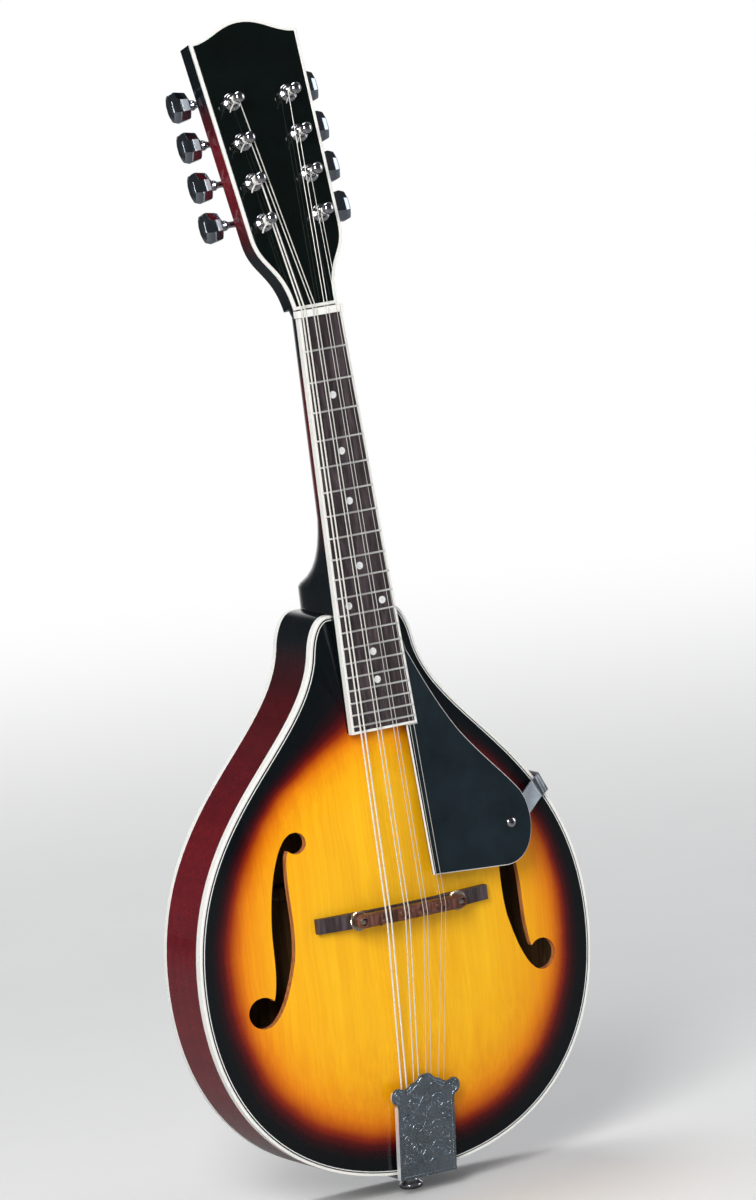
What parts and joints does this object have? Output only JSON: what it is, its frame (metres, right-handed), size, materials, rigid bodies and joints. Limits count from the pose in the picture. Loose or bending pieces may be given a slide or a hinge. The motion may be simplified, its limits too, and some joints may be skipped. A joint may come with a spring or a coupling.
{
  "type": "mandolin",
  "caption": "A-style mandolin with an arched f-hole soundboard, open-gear tuners that turn, a height-adjustable bridge, a floating pickguard and a slide-off tailpiece cover.",
  "frame": {"origin": "where a hanger holds the neck, just under the flare of the headstock", "axes": "upright: +Z toward the headstock, +X toward the treble side, +Y out of the back; the soundboard faces -Y"},
  "size_m": [0.262, 0.1072, 0.7002],
  "materials": {
    "spruce_sunburst": "gloss lacquer over a sunburst, amber in the middle and near black at the edge",
    "maroon_wood": "gloss maroon stain and lacquer",
    "inner_wood": "bare, sawn and sanded",
    "ivory_plastic": "polished ivory colour",
    "black_lacquer": "gloss black lacquer",
    "rosewood": "oiled, satin",
    "chrome": "polished plating",
    "guard_plastic": "polished black with pale edge lines",
    "string_steel": "plain and wound steel wire",
    "plated_steel": "plated and knurled",
    "satin_metal": "satin grey"
  },
  "bodies": {
    "body": {"back": "maroon_wood", "back_binding": "ivory_plastic", "bass_tone_bar": "inner_wood", "bass_tuner_plate": "chrome", "bridge_base": "rosewood", "end_pin": "chrome", "fretboard": "rosewood", "fretboard_binding": "ivory_plastic", "fretboard_riser": "black_lacquer", "headstock_binding": "ivory_plastic", "headstock_overlay": "black_lacquer", "neck": "maroon_wood", "neck_block": "inner_wood", "nut": "ivory_plastic", "pickguard": "guard_plastic", "pickguard_bracket": "satin_metal", "pickguard_screw": "chrome", "post_ferrule_1": "chrome", "post_ferrule_2": "chrome", "post_ferrule_3": "chrome", "post_ferrule_4": "chrome", "post_ferrule_5": "chrome", "post_ferrule_6": "chrome", "post_ferrule_7": "chrome", "post_ferrule_8": "chrome", "rim": "maroon_wood", "soundboard": "spruce_sunburst", "string_1": "string_steel", "string_2": "string_steel", "string_3": "string_steel", "string_4": "string_steel", "string_5": "string_steel", "string_6": "string_steel", "string_7": "string_steel", "string_8": "string_steel", "tail_block": "inner_wood", "tailpiece_base": "chrome", "top_binding": "ivory_plastic", "treble_tone_bar": "inner_wood", "treble_tuner_plate": "chrome"},
    "knob_1": {"tuner_knob_1": "chrome"},
    "post_1": {"geared_post_1": "chrome"},
    "knob_2": {"tuner_knob_2": "chrome"},
    "post_2": {"geared_post_2": "chrome"},
    "knob_3": {"tuner_knob_3": "chrome"},
    "post_3": {"geared_post_3": "chrome"},
    "knob_4": {"tuner_knob_4": "chrome"},
    "post_4": {"geared_post_4": "chrome"},
    "knob_5": {"tuner_knob_5": "chrome"},
    "post_5": {"geared_post_5": "chrome"},
    "knob_6": {"tuner_knob_6": "chrome"},
    "post_6": {"geared_post_6": "chrome"},
    "knob_7": {"tuner_knob_7": "chrome"},
    "post_7": {"geared_post_7": "chrome"},
    "knob_8": {"tuner_knob_8": "chrome"},
    "post_8": {"geared_post_8": "chrome"},
    "saddle": {"bridge_saddle": "rosewood"},
    "bass_wheel": {"bass_thumbwheel": "plated_steel"},
    "treble_wheel": {"treble_thumbwheel": "plated_steel"},
    "cover": {"tailpiece_cover": "chrome"}
  },
  "joints": [
    {"name": "knob_1_turn", "type": "hinge", "parent": "body", "child": "knob_1", "pos_m": [-0.0188, 0.02779, 0.04482], "axis": [1, 0, 0], "continuous": true},
    {"name": "post_1_turn", "type": "hinge", "parent": "body", "child": "post_1", "pos_m": [-0.0188, 0.02584, 0.03893], "axis": [0, 0.9489, -0.3156], "continuous": true, "deforming": ["string_1"]},
    {"name": "knob_2_turn", "type": "hinge", "parent": "body", "child": "knob_2", "pos_m": [-0.0188, 0.03562, 0.06835], "axis": [1, 0, 0], "continuous": true},
    {"name": "post_2_turn", "type": "hinge", "parent": "body", "child": "post_2", "pos_m": [-0.0188, 0.03366, 0.06247], "axis": [0, 0.9489, -0.3156], "continuous": true, "deforming": ["string_2"]},
    {"name": "knob_3_turn", "type": "hinge", "parent": "body", "child": "knob_3", "pos_m": [-0.0188, 0.04345, 0.09188], "axis": [1, 0, 0], "continuous": true},
    {"name": "post_3_turn", "type": "hinge", "parent": "body", "child": "post_3", "pos_m": [-0.0188, 0.04149, 0.086], "axis": [0, 0.9489, -0.3156], "continuous": true, "deforming": ["string_3"]},
    {"name": "knob_4_turn", "type": "hinge", "parent": "body", "child": "knob_4", "pos_m": [-0.0188, 0.05128, 0.11541], "axis": [1, 0, 0], "continuous": true},
    {"name": "post_4_turn", "type": "hinge", "parent": "body", "child": "post_4", "pos_m": [-0.0188, 0.04932, 0.10953], "axis": [0, 0.9489, -0.3156], "continuous": true, "deforming": ["string_4"]},
    {"name": "knob_5_turn", "type": "hinge", "parent": "body", "child": "knob_5", "pos_m": [0.0188, 0.05128, 0.11541], "axis": [1, 0, 0], "continuous": true},
    {"name": "post_5_turn", "type": "hinge", "parent": "body", "child": "post_5", "pos_m": [0.0188, 0.04932, 0.10953], "axis": [0, 0.9489, -0.3156], "continuous": true, "deforming": ["string_5"]},
    {"name": "knob_6_turn", "type": "hinge", "parent": "body", "child": "knob_6", "pos_m": [0.0188, 0.04345, 0.09188], "axis": [1, 0, 0], "continuous": true},
    {"name": "post_6_turn", "type": "hinge", "parent": "body", "child": "post_6", "pos_m": [0.0188, 0.04149, 0.086], "axis": [0, 0.9489, -0.3156], "continuous": true, "deforming": ["string_6"]},
    {"name": "knob_7_turn", "type": "hinge", "parent": "body", "child": "knob_7", "pos_m": [0.0188, 0.03562, 0.06835], "axis": [1, 0, 0], "continuous": true},
    {"name": "post_7_turn", "type": "hinge", "parent": "body", "child": "post_7", "pos_m": [0.0188, 0.03366, 0.06247], "axis": [0, 0.9489, -0.3156], "continuous": true, "deforming": ["string_7"]},
    {"name": "knob_8_turn", "type": "hinge", "parent": "body", "child": "knob_8", "pos_m": [0.0188, 0.02779, 0.04482], "axis": [1, 0, 0], "continuous": true},
    {"name": "post_8_turn", "type": "hinge", "parent": "body", "child": "post_8", "pos_m": [0.0188, 0.02584, 0.03893], "axis": [0, 0.9489, -0.3156], "continuous": true, "deforming": ["string_8"]},
    {"name": "saddle_lift", "type": "slide", "parent": "body", "child": "saddle", "axis": [0, -1, 0], "range_m": [-0.0008, 0.0016], "deforming": ["string_1", "string_2", "string_3", "string_4", "string_5", "string_6", "string_7", "string_8"]},
    {"name": "bass_wheel_turn", "type": "hinge", "parent": "saddle", "child": "bass_wheel", "pos_m": [-0.033, -0.0354, -0.36588], "axis": [0, -1, 0], "range_deg": [-413, 824]},
    {"name": "treble_wheel_turn", "type": "hinge", "parent": "saddle", "child": "treble_wheel", "pos_m": [0.033, -0.0354, -0.36588], "axis": [0, -1, 0], "range_deg": [-413, 824]},
    {"name": "cover_slide", "type": "slide", "parent": "body", "child": "cover", "axis": [0, 0.1547, -0.988], "range_m": [0, 0.04]}
  ],
  "couplings": [
    {"joint": "post_1_turn", "follows": "knob_1_turn", "ratio": -0.071429},
    {"joint": "post_2_turn", "follows": "knob_2_turn", "ratio": -0.071429},
    {"joint": "post_3_turn", "follows": "knob_3_turn", "ratio": -0.071429},
    {"joint": "post_4_turn", "follows": "knob_4_turn", "ratio": -0.071429},
    {"joint": "post_5_turn", "follows": "knob_5_turn", "ratio": -0.071429},
    {"joint": "post_6_turn", "follows": "knob_6_turn", "ratio": -0.071429},
    {"joint": "post_7_turn", "follows": "knob_7_turn", "ratio": -0.071429},
    {"joint": "post_8_turn", "follows": "knob_8_turn", "ratio": -0.071429},
    {"joint": "bass_wheel_turn", "follows": "saddle_lift", "rad_per_m": 8976},
    {"joint": "treble_wheel_turn", "follows": "saddle_lift", "rad_per_m": 8976}
  ]
}
